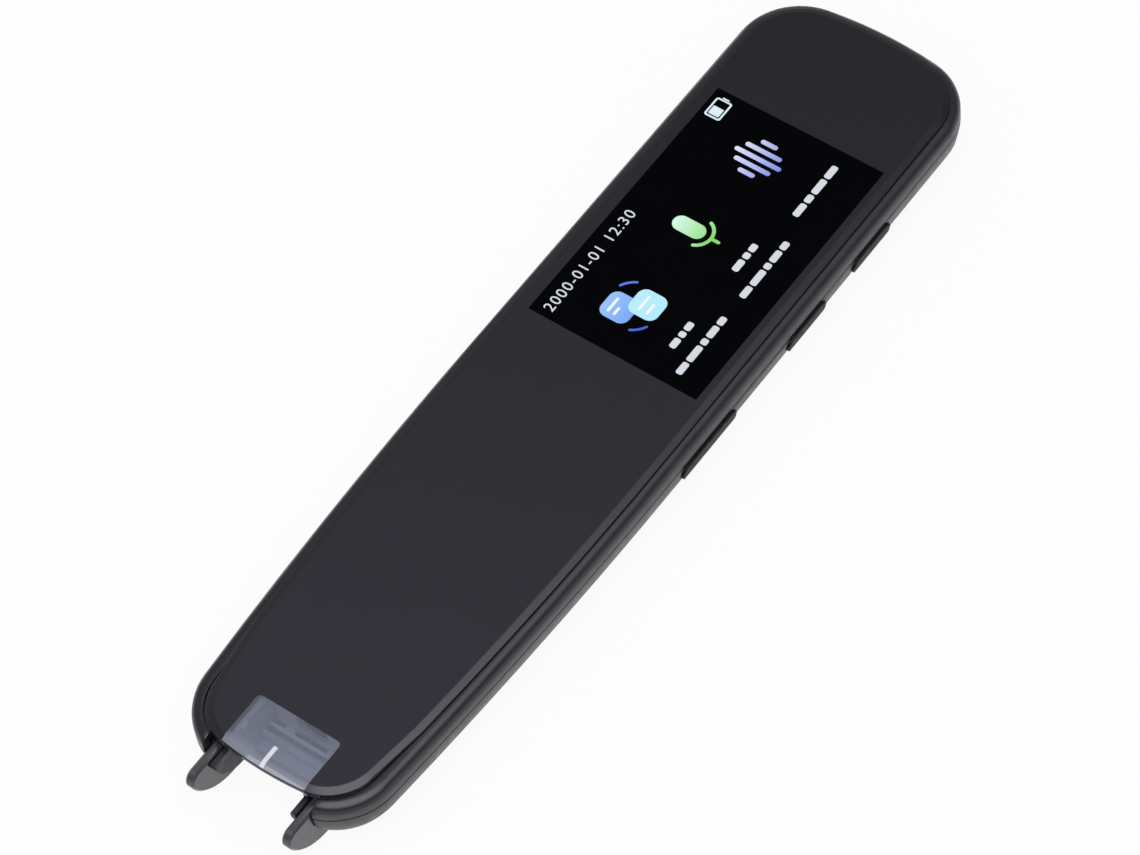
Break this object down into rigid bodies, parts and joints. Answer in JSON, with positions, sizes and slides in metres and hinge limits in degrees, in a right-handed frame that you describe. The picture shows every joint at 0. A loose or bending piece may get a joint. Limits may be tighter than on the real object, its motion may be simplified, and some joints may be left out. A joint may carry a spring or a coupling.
{
  "type": "scanning pen",
  "caption": "Flat pen-shaped text scanner with a glass front, a small display, a clear scanning window, a press-to-scan fork at the tip, side buttons and a charging port.",
  "frame": {"origin": "on the flat back, on the case's centre line, under the middle of the case's length, lying on its back", "axes": "+X towards the side with the buttons, +Y along the pen from the scanning tip to the tail, +Z out of the back towards the glass front"},
  "size_m": [0.0374, 0.1571, 0.0112],
  "materials": {
    "cover_glass": "black printed glass, clear at the tip window",
    "adhesive": "thin adhesive",
    "frame_plastic": "satin black moulding",
    "housing_plastic": "fine-textured black moulding",
    "fork_plastic": "smoky black, half gloss",
    "spring_steel": "plain",
    "part_plastic": "black moulding",
    "chamber_plastic": "matte dark grey moulding",
    "circuit_board": "green solder mask",
    "lamp_resin": "clear yellow resin",
    "frosted_plastic": "frosted",
    "chip_resin": "moulded resin",
    "lens_glass": "polished",
    "flex_film": "amber film",
    "sensor_glass": "clear",
    "panel_glass": "dark liquid crystal cell",
    "drawn_steel": "drawn sheet",
    "clear_acrylic": "clear",
    "foam_rubber": "closed-cell foam",
    "cell_pouch": "laminated pouch",
    "wire_sleeve": "soft sleeve",
    "screw_steel": "dark zinc",
    "mesh_cloth": "woven cloth",
    "magnet_metal": "plated",
    "button_plastic": "gloss black"
  },
  "bodies": {
    "case": {"front_glass": "cover_glass", "glass_adhesive": "adhesive", "front_frame": "frame_plastic", "rear_housing": "housing_plastic", "fork_spring": "spring_steel", "trigger_switch": "part_plastic", "scan_chamber": "chamber_plastic", "led_board": "circuit_board", "scan_leds": "lamp_resin", "light_diffuser": "frosted_plastic", "camera_board": "circuit_board", "image_sensor": "chip_resin", "lens_holder": "part_plastic", "lens_barrel": "part_plastic", "camera_lens": "lens_glass", "camera_flex": "flex_film", "touch_sensor": "sensor_glass", "touch_flex": "flex_film", "display_panel": "panel_glass", "display_flex": "flex_film", "backlight_tray": "drawn_steel", "light_guide": "clear_acrylic", "display_foam": "foam_rubber", "main_board": "circuit_board", "board_sockets": "part_plastic", "shield_can": "drawn_steel", "processor": "chip_resin", "memory_chip": "chip_resin", "board_components": "chip_resin", "antenna": "drawn_steel", "battery_cell": "cell_pouch", "battery_tape": "adhesive", "battery_protector": "circuit_board", "battery_wires": "wire_sleeve", "battery_plug": "part_plastic", "case_screws": "screw_steel", "board_screws": "screw_steel", "side_switches": "part_plastic", "button_flex": "flex_film", "switch_bracket": "drawn_steel", "speaker_gasket": "foam_rubber", "speaker_mesh": "mesh_cloth", "speaker_frame": "part_plastic", "speaker_diaphragm": "part_plastic", "speaker_magnet": "magnet_metal", "speaker_contacts": "drawn_steel", "port_shell": "drawn_steel", "port_tongue": "part_plastic", "microphone": "drawn_steel", "mic_gasket": "foam_rubber"},
    "scan_fork": {"scan_fork": "fork_plastic"},
    "upper_key": {"upper_button": "button_plastic"},
    "middle_key": {"middle_button": "button_plastic"},
    "lower_key": {"lower_button": "button_plastic"}
  },
  "joints": [
    {"name": "fork_press", "type": "slide", "parent": "case", "child": "scan_fork", "axis": [0, 1, 0], "range_m": [0, 0.0008], "stiffness_N_per_m": 900, "springref_m": -0.0006, "deforming": ["fork_spring"]},
    {"name": "upper_press", "type": "slide", "parent": "case", "child": "upper_key", "axis": [-1, 0, 0], "range_m": [0, 0.0004], "stiffness_N_per_m": 2500, "springref_m": -0.0002},
    {"name": "middle_press", "type": "slide", "parent": "case", "child": "middle_key", "axis": [-1, 0, 0], "range_m": [0, 0.0004], "stiffness_N_per_m": 2500, "springref_m": -0.0002},
    {"name": "lower_press", "type": "slide", "parent": "case", "child": "lower_key", "axis": [-1, 0, 0], "range_m": [0, 0.0004], "stiffness_N_per_m": 2500, "springref_m": -0.0002}
  ]
}
